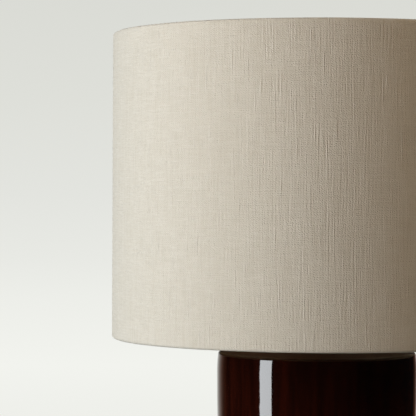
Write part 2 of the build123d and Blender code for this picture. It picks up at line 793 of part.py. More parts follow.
with BuildPart() as shade_fabric:
    with BuildSketch(Plane.XZ):
        with BuildLine():
            turn_top = top_ring_z - roll_outer - fabric_turn_in
            turn_bottom = bottom_ring_z + roll_outer + fabric_turn_in
            Line((shade_r, bottom_ring_z), (shade_r, top_ring_z))
            CenterArc((shade_ring_r, top_ring_z), roll_outer, 0, 270)
            Polyline(
                (shade_ring_r, top_ring_z - roll_outer), (turn_in_r, top_ring_z - roll_outer),
                (turn_in_r, turn_top), (liner_inner_r, turn_top),
                (liner_inner_r, top_ring_z - roll_inner), (shade_ring_r, top_ring_z - roll_inner),
            )
            CenterArc((shade_ring_r, top_ring_z), roll_inner, 270, -270)
            Line((fabric_inner_r, top_ring_z), (fabric_inner_r, bottom_ring_z))
            CenterArc((shade_ring_r, bottom_ring_z), roll_inner, 0, -270)
            Polyline(
                (shade_ring_r, bottom_ring_z + roll_inner), (liner_inner_r, bottom_ring_z + roll_inner),
                (liner_inner_r, turn_bottom), (turn_in_r, turn_bottom),
                (turn_in_r, bottom_ring_z + roll_outer), (shade_ring_r, bottom_ring_z + roll_outer),
            )
            CenterArc((shade_ring_r, bottom_ring_z), roll_outer, 90, 270)
        make_face()
    revolve(axis=Axis.Z)
    # The turn-in is slit where each spider arm reaches the ring
    for index in range(spider_arms):
        slit_height = roll_outer + fabric_turn_in + notch_gap
        with BuildSketch(arm_plane(index)):
            with Locations((liner_inner_r, top_ring_z)):
                Rectangle(2 * roll_outer + notch_gap, slit_height, align=(Align.MAX, Align.MAX))
        extrude(amount=spider_wire_r + notch_gap, both=True, mode=Mode.SUBTRACT)
shade_fabric.part.label = "shade_fabric"

# Finial and its washer
with BuildPart() as finial_washer:
    with BuildSketch(Plane.XY.offset(finial_washer_z)):
        Circle(finial_washer_r)
        Circle(stud_thread_r + slip_gap, mode=Mode.SUBTRACT)
    extrude(amount=finial_washer_t)
finial_washer.part.label = "finial_washer"

with BuildPart() as finial:
    waist_z = finial_z + finial_base_t
    ball_start_z = waist_z + finial_waist_t
    ball_z = ball_start_z + sqrt(finial_ball_r**2 - finial_waist_r**2)
    with BuildSketch(Plane.XZ):
        with BuildLine():
            waist = (finial_waist_r, ball_start_z)
            crown = (0, ball_z + finial_ball_r)
            Polyline((0, finial_z), (finial_base_r, finial_z), (finial_base_r, waist_z))
            SagittaArc((finial_base_r, waist_z), waist, -finial_base_t / 4)
            ThreePointArc(waist, (finial_ball_r, ball_z), crown)
            Line(crown, (0, finial_z))
        make_face()
    revolve(axis=Axis.Z)
    with BuildSketch(Plane.XY.offset(finial_z)):
        Circle(stud_thread_r + thread_gap)
    extrude(amount=stud_engaged + finial_hole_spare, mode=Mode.SUBTRACT)
    fillet(finial.edges().filter_by_position(Axis.Z, waist_z - pick, waist_z + pick), finial_base_t / 4)
finial.part.label = "finial"

pieces = (
    ceramic_body, felt_pad, cord_grommet,
    bottom_washer, bottom_lock_washer, bottom_nut, lamp_pipe, pipe_bushing,
    neck_washer, neck_cap, neck_nut,
    harp_saddle, harp_hoop, harp_ferrule_left, harp_ferrule_right, harp_stud,
    socket_cap, cap_set_screw, socket_fibre_ring, socket_insulator, socket_shell, socket_body,
    terminal_screws, screw_shell, center_contact, switch_shaft, switch_knob,
    bulb_tip, bulb_insulator, bulb_cap, bulb_glass, bulb_led_board, bulb_leds,
    shade_top_ring, shade_bottom_ring, shade_liner, shade_spider, shade_fabric,
    finial_washer, finial,
)
os.makedirs("parts", exist_ok=True)
for piece in pieces:
    export_step(piece.part, f"parts/{piece.part.label}.step")
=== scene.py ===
import json
from math import ceil, cos, hypot, pi, radians, sin

import bmesh
import bpy
from mathutils import Matrix, Vector, noise


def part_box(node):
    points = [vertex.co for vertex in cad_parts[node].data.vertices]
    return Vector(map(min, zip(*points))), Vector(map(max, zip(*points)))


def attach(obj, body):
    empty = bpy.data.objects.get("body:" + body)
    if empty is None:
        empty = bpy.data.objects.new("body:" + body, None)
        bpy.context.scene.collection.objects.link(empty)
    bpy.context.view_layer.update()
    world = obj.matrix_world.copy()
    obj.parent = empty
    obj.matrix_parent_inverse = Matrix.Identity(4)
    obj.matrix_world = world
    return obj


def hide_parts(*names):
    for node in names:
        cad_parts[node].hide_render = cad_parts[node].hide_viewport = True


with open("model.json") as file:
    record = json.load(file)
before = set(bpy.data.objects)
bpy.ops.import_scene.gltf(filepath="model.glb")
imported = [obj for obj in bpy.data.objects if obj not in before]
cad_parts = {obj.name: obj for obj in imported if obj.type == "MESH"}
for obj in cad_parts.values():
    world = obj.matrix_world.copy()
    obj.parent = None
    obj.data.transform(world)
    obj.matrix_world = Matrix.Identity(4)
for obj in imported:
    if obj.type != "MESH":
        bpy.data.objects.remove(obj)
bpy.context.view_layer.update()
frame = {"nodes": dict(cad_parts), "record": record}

# Ceramic table lamp: glazed body, brass fittings and a linen drum shade.
# Metres in the CAD frame, +Z up, front towards -Y.

MM = 0.001
scene = bpy.context.scene
scene.view_settings.view_transform = "Standard"


# Small helpers

def srgb(code):
    """Linear RGBA from an sRGB hex colour."""
    channels = [int(code[i:i + 2], 16) / 255 for i in (1, 3, 5)]
    linear = [c / 12.92 if c <= 0.04045 else ((c + 0.055) / 1.055) ** 2.4 for c in channels]
    return (*linear, 1.0)


def per_metre(size_mm):
    """Texture scale, on metre coordinates, whose features are about size_mm wide."""
    return 1 / (size_mm * MM)


def set_inputs(tree, node, inputs):
    """Sets or links a node's inputs by name or number; a node stands for its first live output."""
    for key, value in inputs.items():
        named = [s for s in node.inputs if s.enabled and s.name == key]
        target = node.inputs[key] if isinstance(key, int) else named[0]
        if isinstance(value, bpy.types.Node):
            value = next(s for s in value.outputs if s.enabled)
        if isinstance(value, bpy.types.NodeSocket):
            tree.links.new(value, target)
        else:
            target.default_value = value


def add_node(tree, kind, inputs=None, **settings):
    """One node with its settings and its inputs' values or links."""
    node = tree.nodes.new(kind)
    for name, value in settings.items():
        setattr(node, name, value)
    set_inputs(tree, node, inputs or {})
    return node


def new_material(name, **inputs):
    """A material with one shader, whose constant inputs are given by socket name."""
    material = bpy.data.materials.new(name)
    material.use_nodes = True
    tree = material.node_tree
    tree.nodes.clear()
    shader = add_node(tree, "ShaderNodeBsdfPrincipled")
    add_node(tree, "ShaderNodeOutputMaterial", {"Surface": shader})
    set_inputs(tree, shader, inputs)
    return material, tree, shader


def mesh_object(name, mesh, material, sharp_angle):
    """A linked object, smooth apart from edges sharper than the angle in degrees."""
    mesh.materials.append(material)
    mesh.polygons.foreach_set("use_smooth", [True] * len(mesh.polygons))
    mesh.set_sharp_from_angle(angle=radians(sharp_angle))
    obj = bpy.data.objects.new(name, mesh)
    scene.collection.objects.link(obj)
    return obj


def as_plain_mesh(obj):
    """The object's mesh with its modifiers worked in, the modifiers then removed."""
    graph = bpy.context.evaluated_depsgraph_get()
    mesh = bpy.data.meshes.new_from_object(obj.evaluated_get(graph))
    obj.modifiers.clear()
    obj.data = mesh
    return mesh


# Finishes

def glaze():
    # Thick glossy stoneware glaze, fired nearly black: rust red only where it runs thin,
    # slightly uneven so that reflections waver, with bare clay left on the foot.
    material, tree, shader = new_material("brown_black_glaze", **{"IOR": 1.52})
    glossy, dulled, clay_rough = 0.045, 0.5, 0.8
    streak_wide_mm, streak_long_mm = 7, 90
    crease_z, blend_below, blend_above = 320 * MM, 0.5 * MM, 2 * MM
    bare_z, bare_edge, bare_waver, waver_mm = 7.0 * MM, 0.4 * MM, 3 * MM, 9
    grit_mm = 0.8
    wave_mm, wave_height = 22, 0.09 * MM
    place = add_node(tree, "ShaderNodeTexCoord").outputs["Object"]
    height = add_node(tree, "ShaderNodeSeparateXYZ", {"Vector": place}).outputs["Z"]
    # The glaze flowed down as it melted, so its thin streaks are narrow and long.
    flow = add_node(tree, "ShaderNodeMapping", {
        "Vector": place,
        "Scale": (per_metre(streak_wide_mm), per_metre(streak_wide_mm), per_metre(streak_long_mm))})
    runs = add_node(tree, "ShaderNodeTexNoise", {"Vector": flow, "Scale": 1.0, "Detail": 3.0})
    depth = add_node(tree, "ShaderNodeMapRange", {"Value": runs, "From Min": 0.4, "From Max": 0.75})
    pooled = add_node(tree, "ShaderNodeMix", {"Factor": depth, "A": srgb("#170502"), "B": srgb("#2a0b04")},
                      data_type="RGBA")
    # Above the crease the glaze is thinner and less glossy. Its lighter brown there is partly that thin glaze
    # and partly a painted reflection of the shade's warm inside.
    thin_glaze_and_painted_reflection = add_node(tree, "ShaderNodeMapRange", {
        "Value": height, "From Min": crease_z - blend_below, "From Max": crease_z + blend_above})
    colour = add_node(tree, "ShaderNodeMix", {"Factor": thin_glaze_and_painted_reflection, "A": pooled, "B": srgb("#3a1f0e")},
                      data_type="RGBA")
    ragged = add_node(tree, "ShaderNodeTexNoise",
                      {"Vector": place, "Scale": per_metre(waver_mm), "Detail": 4.0})
    line = add_node(tree, "ShaderNodeMath", {0: ragged, 1: bare_waver, 2: height}, operation="MULTIPLY_ADD")
    bare = add_node(tree, "ShaderNodeMapRange",
                    {"Value": line, "From Min": bare_z + bare_edge, "From Max": bare_z})
    grit = add_node(tree, "ShaderNodeTexNoise", {"Vector": place, "Scale": per_metre(grit_mm), "Detail": 2.0})
    clay = add_node(tree, "ShaderNodeMix", {"Factor": grit, "A": srgb("#a98a68"), "B": srgb("#c3a784")},
                    data_type="RGBA")
    whole = add_node(tree, "ShaderNodeMix", {"Factor": bare, "A": colour, "B": clay}, data_type="RGBA")
    gloss = add_node(tree, "ShaderNodeMapRange", {"Value": thin_glaze_and_painted_reflection, "To Min": glossy, "To Max": dulled})
    rough = add_node(tree, "ShaderNodeMapRange", {"Value": bare, "To Min": gloss, "To Max": clay_rough})
    waves = add_node(tree, "ShaderNodeTexNoise",
                     {"Vector": place, "Scale": per_metre(wave_mm), "Detail": 1.0})
    bump = add_node(tree, "ShaderNodeBump", {"Height": waves, "Strength": 1.0, "Distance": wave_height})
    set_inputs(tree, shader, {"Base Color": whole, "Roughness": rough, "Normal": bump})
    return material


def linen():
    # Natural linen, plain woven from uneven hand-spun yarn: thick and thin places run along both
    # yarns, some slubs stand out and the relief catches side light. The gaps between yarns are painted
    # darker: partly the liner showing through, partly painted shade that falls between the yarns.
    material, tree, shader = new_material(
        "natural_linen", **{"Roughness": 0.92, "Specular IOR Level": 0.15, "Sheen Weight": 0.12,
                            "Sheen Roughness": 0.6})
    cloth = add_node(tree, "ShaderNodeUVMap", uv_map="cloth")
    # Real linen of this kind has 10 to 14 yarns to the centimetre; drawn coarser so that the weave shows.
    yarn_mm = {"warp": 1.33, "weft": 1.0}
    step_along = {"warp": yarn_mm["weft"], "weft": yarn_mm["warp"]}
    top_phase = {"warp": 0.0, "weft": pi}
    # Thickness is a share of an even yarn's: the warp stands out and the weft is drawn tight under it.
    thinnest = {"warp": 0.8, "weft": 0.1}
    thickest = {"warp": 2.4, "weft": 0.6}
    tone_reach = {"warp": 0.7, "weft": 0.15}
    crown_swing, crown_middle = 0.45, 0.55
    # A slub rises where a yarn's own noise is high; lanes far apart in the noise keep neighbours unlike.
    slub_mm = {"warp": 45, "weft": 20}
    slub_from, slub_full, slub_height = 0.64, 0.8, 0.24 * MM
    lane_step = 7.31
    rib_mm = {"warp": 40, "weft": 34}
    rib_height = {"warp": 0.42 * MM, "weft": 0.3 * MM}
    knots_per_yarn, knot_height, weave_height = 1.2, 0.35 * MM, 0.11 * MM
    drift_mm, drift_yarns = 28, 1.0
    gap_below, yarn_above = 0.1, 0.55
    counts = (per_metre(yarn_mm["warp"]), per_metre(yarn_mm["weft"]), 0)
    yarns = add_node(tree, "ShaderNodeVectorMath", {0: cloth, 1: counts}, operation="MULTIPLY")
    drift = add_node(tree, "ShaderNodeTexNoise",
                     {"Vector": cloth, "Scale": per_metre(drift_mm), "Detail": 2.0})
    wander = add_node(tree, "ShaderNodeVectorMath",
                      {0: drift.outputs["Color"], 1: (drift_yarns, drift_yarns, 0), 2: yarns},
                      operation="MULTIPLY_ADD")
    split = add_node(tree, "ShaderNodeSeparateXYZ", {"Vector": wander})
    along = {"warp": split.outputs["Y"], "weft": split.outputs["X"]}
    across = {"warp": split.outputs["X"], "weft": split.outputs["Y"]}
    height, tone, ribs = {}, {}, {}
    for way in ("warp", "weft"):
        index = add_node(tree, "ShaderNodeMath", {0: across[way]}, operation="FLOOR")
        inside = add_node(tree, "ShaderNodeMath", {0: across[way]}, operation="FRACT")
        arch = add_node(tree, "ShaderNodeMath", {0: inside, 1: pi}, operation="MULTIPLY")
        profile = add_node(tree, "ShaderNodeMath", {0: arch}, operation="SINE")
        lane = add_node(tree, "ShaderNodeMath", {0: index, 1: lane_step}, operation="MULTIPLY")
        run = add_node(tree, "ShaderNodeMath", {0: along[way], 1: step_along[way] / slub_mm[way]},
                       operation="MULTIPLY")
        line = add_node(tree, "ShaderNodeCombineXYZ", {"X": lane, "Y": run})
        slub = add_node(tree, "ShaderNodeTexNoise", {"Vector": line, "Scale": 1.0, "Detail": 2.0},
                        noise_dimensions="2D")
        thick = add_node(tree, "ShaderNodeMapRange",
                         {"Value": slub, "From Min": 0.25, "From Max": 0.75, "To Min": thinnest[way],
                          "To Max": thickest[way]})
        beat = add_node(tree, "ShaderNodeMath", {0: along[way], 1: index}, operation="ADD")
        angle = add_node(tree, "ShaderNodeMath", {0: beat, 1: pi, 2: top_phase[way] - pi / 2},
                         operation="MULTIPLY_ADD")
        wave = add_node(tree, "ShaderNodeMath", {0: angle}, operation="COSINE")
        rise = add_node(tree, "ShaderNodeMath", {0: wave, 1: crown_swing, 2: crown_middle},
                        operation="MULTIPLY_ADD")
        arched = add_node(tree, "ShaderNodeMath", {0: profile, 1: thick}, operation="MULTIPLY")
        height[way] = add_node(tree, "ShaderNodeMath", {0: arched, 1: rise}, operation="MULTIPLY")
        tone[way] = add_node(tree, "ShaderNodeMapRange", {
            "Value": slub, "From Min": 0.5 - tone_reach[way], "From Max": 0.5 + tone_reach[way]})
        lump = add_node(tree, "ShaderNodeMapRange", {
            "Value": slub, "From Min": slub_from, "From Max": slub_full, "To Max": slub_height})
        ridge = add_node(tree, "ShaderNodeMath", {0: lump, 1: profile}, operation="MULTIPLY")
        stretch = add_node(tree, "ShaderNodeMath", {0: along[way], 1: step_along[way] / rib_mm[way]},
                           operation="MULTIPLY")
        spot = add_node(tree, "ShaderNodeCombineXYZ", {"X": across[way], "Y": stretch})
        rib = add_node(tree, "ShaderNodeTexNoise", {"Vector": spot, "Scale": 1.0, "Detail": 3.0},
                       noise_dimensions="2D")
        ribs[way] = add_node(tree, "ShaderNodeMath", {0: rib, 1: rib_height[way], 2: ridge},
                             operation="MULTIPLY_ADD")
    relief = add_node(tree, "ShaderNodeMath", {0: height["warp"], 1: height["weft"]}, operation="MAXIMUM")
    on_top = add_node(tree, "ShaderNodeMath", {0: height["weft"], 1: height["warp"]},
                      operation="GREATER_THAN")
    shade_of_yarn = add_node(tree, "ShaderNodeMix", {"Factor": on_top, "A": tone["warp"], "B": tone["weft"]})
    yarn = add_node(tree, "ShaderNodeMix",
                    {"Factor": shade_of_yarn, "A": srgb("#c2c1b4"), "B": srgb("#d8d7cc")}, data_type="RGBA")
    # Where the yarns are low the colour goes to the darker gap colour: partly the liner showing through,
    # partly painted shade between the yarns.
    yarn_cover_and_gap_shade = add_node(tree, "ShaderNodeMapRange",
                       {"Value": relief, "From Min": gap_below, "From Max": yarn_above})
    colour = add_node(tree, "ShaderNodeMix", {"Factor": yarn_cover_and_gap_shade, "A": srgb("#bdb9a9"), "B": yarn},
                      data_type="RGBA")
    raised = add_node(tree, "ShaderNodeMath", {0: ribs["warp"], 1: ribs["weft"]}, operation="ADD")
    # Each crossing of two yarns stands a little higher or lower than the next.
    knots = add_node(tree, "ShaderNodeTexNoise", {"Vector": wander, "Scale": knots_per_yarn, "Detail": 0.0},
                     noise_dimensions="2D")
    knotted = add_node(tree, "ShaderNodeMath", {0: knots, 1: knot_height, 2: raised},
                       operation="MULTIPLY_ADD")
    surface = add_node(tree, "ShaderNodeMath", {0: relief, 1: weave_height, 2: knotted},
                       operation="MULTIPLY_ADD")
    bump = add_node(tree, "ShaderNodeBump", {"Height": surface, "Strength": 1.0, "Distance": 1.0})
    set_inputs(tree, shader, {"Base Color": colour, "Normal": bump})
    return material


def metal(name, clean, dull, smooth, rough, line_mm, lines):
    # A worked metal: fine tool lines round the axis where it was turned, or along the piece where it
    # was drawn or rolled, under a film that is a little duller in patches.
    material, tree, shader = new_material(name, **{"Metallic": 1.0})
    patch_mm, line_height = 14, 0.02 * MM
    place = add_node(tree, "ShaderNodeTexCoord").outputs["Object"]
    split = add_node(tree, "ShaderNodeSeparateXYZ", {"Vector": place})
    if lines == "turned":
        flat = add_node(tree, "ShaderNodeCombineXYZ", {"X": split.outputs["X"], "Y": split.outputs["Y"]})
        radius = add_node(tree, "ShaderNodeVectorMath", {0: flat}, operation="LENGTH").outputs["Value"]
        track = add_node(tree, "ShaderNodeCombineXYZ", {"X": radius, "Y": split.outputs["Z"]})
    else:
        track = add_node(tree, "ShaderNodeCombineXYZ", {"X": split.outputs["Y"]})
    scratches = add_node(tree, "ShaderNodeTexNoise",
                         {"Vector": track, "Scale": per_metre(line_mm), "Detail": 2.0})
    patches = add_node(tree, "ShaderNodeTexNoise",
                       {"Vector": place, "Scale": per_metre(patch_mm), "Detail": 3.0})
    film = add_node(tree, "ShaderNodeMapRange", {"Value": patches, "From Min": 0.35, "From Max": 0.7})
    colour = add_node(tree, "ShaderNodeMix", {"Factor": film, "A": srgb(clean), "B": srgb(dull)},
                      data_type="RGBA")
    gloss = add_node(tree, "ShaderNodeMapRange", {"Value": film, "To Min": smooth, "To Max": rough})
    bump = add_node(tree, "ShaderNodeBump", {"Height": scratches, "Strength": 0.5, "Distance": line_height})
    set_inputs(tree, shader, {"Base Color": colour, "Roughness": gloss, "Normal": bump})
    return material


def mottled(name, light, dark, spot_mm, rough, grain_mm, grain_height_mm, **inputs):
    # A plain non-metal: two close tones in soft spots, and a fine grain that breaks up its highlight.
    material, tree, shader = new_material(name, **{"Roughness": rough, **inputs})
    place = add_node(tree, "ShaderNodeTexCoord").outputs["Object"]
    spots = add_node(tree, "ShaderNodeTexNoise",
                     {"Vector": place, "Scale": per_metre(spot_mm), "Detail": 3.0})
    mix = add_node(tree, "ShaderNodeMapRange", {"Value": spots, "From Min": 0.35, "From Max": 0.65})
    colour = add_node(tree, "ShaderNodeMix", {"Factor": mix, "A": srgb(light), "B": srgb(dark)},
                      data_type="RGBA")
    grain = add_node(tree, "ShaderNodeTexNoise",
                     {"Vector": place, "Scale": per_metre(grain_mm), "Detail": 2.0})
    bump = add_node(tree, "ShaderNodeBump",
                    {"Height": grain, "Strength": 0.6, "Distance": grain_height_mm * MM})
    set_inputs(tree, shader, {"Base Color": colour, "Normal": bump})
    return material


# A metal gives its clean and dull colours, the roughness of each, and its lines' spacing in mm; a mottled
# finish its two tones, spot size in mm, roughness, and its grain's size and height in mm.
finishes = {
    "glaze": glaze(),
    "linen": linen(),
    # Satin lacquered brass, turned and pressed: warm, with fine rings in its highlights.
    "brass": metal("satin_brass", "#d0a862", "#b88f4d", 0.24, 0.36, 0.25, "turned"),
    # Brass plated steel wire and strip, drawn and rolled: faint lines along it and a softer shine.
    "harp_wire": metal("drawn_brass_wire", "#cba45f", "#b18a4c", 0.26, 0.38, 0.2, "drawn"),
    # Nickel plate on small turned and drawn steel pieces: a warm bright grey.
    "ferrule_nickel": metal("nickel_plate", "#cfcac0", "#b3aea4", 0.2, 0.32, 0.25, "turned"),
    # Nickel plate on the bulb's rolled cap and its tip: the same grey, duller in patches.
    "bulb_nickel": metal("bulb_cap_nickel", "#cdc8be", "#aaa59b", 0.22, 0.36, 0.3, "turned"),
    # Zinc plated steel: a cold, rather dull grey.
    "zinc_steel": metal("zinc_plate", "#c3c6c8", "#a5a9ad", 0.3, 0.45, 0.4, "turned"),
    # Drawn aluminium of the socket's screw shell: pale and softly bright.
    "socket_aluminium": metal("drawn_aluminium", "#dadbdc", "#c2c3c5", 0.28, 0.4, 0.3, "turned"),
    # Pressed wool felt: dull black, with loose fibres that catch light at the edge.
    "felt": mottled("black_felt", "#1d1c1b", "#2a2826", 3, 0.95, 0.6, 0.25,
                    **{"Sheen Weight": 0.4, "Specular IOR Level": 0.1}),
    # Moulded black rubber: matte, with a broad weak highlight.
    "rubber": mottled("black_rubber", "#191817", "#232120", 6, 0.7, 0.5, 0.03),
    # Moulded nylon: milky white with a soft shine.
    "nylon": mottled("white_nylon", "#dfdacb", "#d5cfbd", 8, 0.45, 0.8, 0.02),
    # Vulcanised fibre, paper pressed hard: brown grey, flecked and dull.
    "fibre": mottled("vulcanised_fibre", "#5b4a3b", "#6d5a48", 2.5, 0.75, 0.5, 0.05),
    # Phenolic moulding: brown black and glossy.
    "phenolic": mottled("phenolic_moulding", "#17120f", "#1f1814", 4, 0.26, 1.2, 0.01, **{"IOR": 1.6}),
    # Black glass fused into the bulb's cap: deep and shiny.
    "bulb_black_glass": mottled("fused_black_glass", "#0f0f11", "#17171a", 5, 0.12, 1.5, 0.01),
    # Opal blown glass: an even milky white, satin under a smooth skin.
    "opal_glass": mottled("opal_bulb", "#f1efe8", "#eeebe2", 30, 0.28, 4, 0.01,
                          **{"IOR": 1.5, "Coat Weight": 0.3, "Coat Roughness": 0.08}),
    # Solder mask printed over copper: flat white with a slight shine.
    "circuit_board": mottled("white_circuit_board", "#e6e7e3", "#dadbd6", 4, 0.4, 0.4, 0.01),
    # Phosphor filled silicone: strong yellow, slightly shiny.
    "led_yellow": mottled("yellow_phosphor", "#e2bd4b", "#d8ae38", 1.5, 0.35, 0.5, 0.01),
    # Ivory powder coat on steel wire: slightly pebbled, with a soft shine.
    "shade_wire": mottled("ivory_powder_coat", "#d6d1c4", "#cdc7b9", 12, 0.42, 1.0, 0.03),
    # Cream styrene sheet laminated behind the linen: smooth and warm.
    "styrene": mottled("cream_styrene", "#d9cdb3", "#d3c6aa", 25, 0.5, 1.0, 0.015),
}
for material_slot, material in finishes.items():
    for subpart in frame["record"]["subparts"]:
        if subpart["material_slot"] == material_slot:
            node_mesh = frame["nodes"][subpart["node"]].data
            node_mesh.materials.clear()
            node_mesh.materials.append(material)


# Linen cover: one cloth wrapped round the drum, rolled over both rings and turned in on the liner

cloth_thickness = 0.6 * MM
liner_thickness = 0.6 * MM
turn_in, tuck, tuck_gap = 8.0 * MM, 0.4 * MM, 0.05 * MM
seam_lap, lap_rise, lap_ramp_columns = 12.0 * MM, 1.1 * cloth_thickness, 2
seam_azimuth = 70
# Each pair is a wave's size in mm and its height.
unevenness = ((70, 0.12 * MM), (18, 0.05 * MM))
columns, wall_rows, roll_rows = 360, 42, 14
roll_turn, slit_start, slit_half_angle = 270, 180, 1
arm_azimuths = (90, 210, 330)
cloth_sharp_angle = 50

shade_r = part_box("shade_fabric")[1].x


def ring_circle(node):
    """Centre radius and height of a wire ring."""
    low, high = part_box(node)
    wire_r = (high.z - low.z) / 2
    return high.x - wire_r, (high.z + low.z) / 2


ring_r, bottom_ring_z = ring_circle("shade_bottom_ring")
_, top_ring_z = ring_circle("shade_top_ring")
roll_r = shade_r - ring_r
turn_in_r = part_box("shade_liner")[1].x - liner_thickness - cloth_thickness


def roll_arc(centre_z, start, end):
    """Points (radius, height) of the cloth's face round a ring, angles in degrees from outwards."""
    angles = [start + (end - start) * i / roll_rows for i in range(roll_rows + 1)]
    return [(ring_r + roll_r * cos(radians(a)), centre_z + roll_r * sin(radians(a))) for a in angles]


def flap(ring_z, side):
    """Points of the turned-in flap, from the roll to its free edge; side is 1 above the ring."""
    start_z = ring_z + side * roll_r
    return [(turn_in_r - tuck, start_z + side * tuck_gap), (turn_in_r, start_z + side * tuck),
            (turn_in_r, start_z + side * turn_in / 2), (turn_in_r, start_z + side * turn_in)]


bottom_flap = flap(bottom_ring_z, 1)[::-1]
bottom_roll = roll_arc(bottom_ring_z, 360 - roll_turn, 360)
wall_height = top_ring_z - bottom_ring_z
wall = [(shade_r, bottom_ring_z + wall_height * i / wall_rows) for i in range(1, wall_rows)]
top_roll = roll_arc(top_ring_z, 0, roll_turn)
top_flap = flap(top_ring_z, -1)
cover_path = bottom_flap + bottom_roll + wall + top_roll + top_flap
first_slit_row = len(bottom_flap + bottom_roll + wall) + round(roll_rows * slit_start / roll_turn)


def path_normals(path):
    """Unit normals (radius, height) on the cloth's outer face."""
    normals = []
    for i in range(len(path)):
        before, after = path[max(i - 1, 0)], path[min(i + 1, len(path) - 1)]
        along_r, along_z = after[0] - before[0], after[1] - before[1]
        size = hypot(along_r, along_z)
        normals.append((along_z / size, -along_r / size))
    return normals


def linen_cover():
    """The cloth, its seam lapped at the back, with slits in the top flap where the arms pass."""
    normals = path_normals(cover_path)
    lengths = [0.0]
    for before, after in zip(cover_path, cover_path[1:]):
        lengths.append(lengths[-1] + hypot(after[0] - before[0], after[1] - before[1]))
    column_step = 2 * pi / columns
    lap_columns = ceil(seam_lap / (shade_r * column_step))
    mesh_form = bmesh.new()
    cloth_map = mesh_form.loops.layers.uv.new("cloth")
    grid = []
    for column in range(columns + lap_columns + 1):
        turn = radians(seam_azimuth) + column * column_step
        over = min(max((column - columns + lap_ramp_columns) / lap_ramp_columns, 0), 1)
        rows = []
        for (radius, z), (out_r, out_z) in zip(cover_path, normals):
            spot = Vector((radius * cos(turn), radius * sin(turn), z))
            uneven = sum(noise.noise(spot * per_metre(size_mm)) * height for size_mm, height in unevenness)
            stand = uneven + over * lap_rise
            reach = radius + out_r * stand
            rows.append(mesh_form.verts.new((reach * cos(turn), reach * sin(turn), z + out_z * stand)))
        grid.append(rows)
    for column in range(columns + lap_columns):
        azimuth = seam_azimuth + column * 360 / columns
        in_slit = any(-slit_half_angle <= (azimuth - arm + 180) % 360 - 180 < slit_half_angle
                      for arm in arm_azimuths)
        for row in range(len(cover_path) - 1):
            if in_slit and row >= first_slit_row:
                continue
            corners = ((column, row), (column + 1, row), (column + 1, row + 1), (column, row + 1))
            face = mesh_form.faces.new([grid[c][r] for c, r in corners])
            for loop, (c, r) in zip(face.loops, corners):
                loop[cloth_map].uv = (c * column_step * shade_r, lengths[r])
    bmesh.ops.delete(mesh_form, geom=[v for v in mesh_form.verts if not v.link_faces], context="VERTS")
    mesh = bpy.data.meshes.new("linen_cover")
    mesh_form.to_mesh(mesh)
    mesh_form.free()
    cloth = mesh_object("linen_cover", mesh, finishes["linen"], cloth_sharp_angle)
    thicken = cloth.modifiers.new("thickness", "SOLIDIFY")
    thicken.thickness = cloth_thickness
    thicken.offset = -1
    as_plain_mesh(cloth).set_sharp_from_angle(angle=radians(cloth_sharp_angle))
    flat_size = (2 * pi * shade_r + lap_columns * column_step * shade_r, lengths[-1])
    return cloth, flat_size


cover, cover_flat = linen_cover()
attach(cover, "shade")
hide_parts("shade_fabric")


# Screw threads on the bulb's cap and on the post under the finial

turned_sharp_angle = 40
thread_sharp_angle = 60
weld_distance = 0.001 * MM


def thread_nodes():
    """Cuts a right-handed rounded thread into a turned blank, as deep as its "threaded" attribute allows."""
    tree = bpy.data.node_groups.new("screw_thread", "GeometryNodeTree")
    tree.interface.new_socket("Blank", in_out="INPUT", socket_type="NodeSocketGeometry")
    for name in ("Pitch", "Depth"):
        tree.interface.new_socket(name, in_out="INPUT", socket_type="NodeSocketFloat")
    tree.interface.new_socket("Metal", in_out="INPUT", socket_type="NodeSocketMaterial")
    tree.interface.new_socket("Screw", in_out="OUTPUT", socket_type="NodeSocketGeometry")
    given = add_node(tree, "NodeGroupInput").outputs
    place = add_node(tree, "GeometryNodeInputPosition")
    split = add_node(tree, "ShaderNodeSeparateXYZ", {"Vector": place}).outputs
    turn = add_node(tree, "ShaderNodeMath", {0: split["Y"], 1: split["X"]}, operation="ARCTAN2")
    steps = add_node(tree, "ShaderNodeMath", {0: split["Z"], 1: given["Pitch"]}, operation="DIVIDE")
    climb = add_node(tree, "ShaderNodeMath", {0: steps, 1: 2 * pi}, operation="MULTIPLY")
    phase = add_node(tree, "ShaderNodeMath", {0: climb, 1: turn}, operation="SUBTRACT")
    wave = add_node(tree, "ShaderNodeMath", {0: phase}, operation="COSINE")
    inward = add_node(tree, "ShaderNodeMath", {0: wave, 1: 0.5, 2: -0.5}, operation="MULTIPLY_ADD")
    share = add_node(tree, "GeometryNodeInputNamedAttribute", {"Name": "threaded"}, data_type="FLOAT")
    local = add_node(tree, "ShaderNodeMath", {0: given["Depth"], 1: share}, operation="MULTIPLY")
    cut = add_node(tree, "ShaderNodeMath", {0: inward, 1: local}, operation="MULTIPLY")
    level = add_node(tree, "ShaderNodeCombineXYZ", {"X": split["X"], "Y": split["Y"]})
    outward = add_node(tree, "ShaderNodeVectorMath", {0: level}, operation="NORMALIZE")
    move = add_node(tree, "ShaderNodeVectorMath", {0: outward, "Scale": cut}, operation="SCALE")
    screw = add_node(tree, "GeometryNodeSetPosition", {"Geometry": given["Blank"], "Offset": move})
    real = add_node(tree, "GeometryNodeRealizeInstances", {"Geometry": screw})
    finished = add_node(tree, "GeometryNodeSetMaterial", {"Geometry": real, "Material": given["Metal"]})
    add_node(tree, "NodeGroupOutput", {"Screw": finished})
    return tree


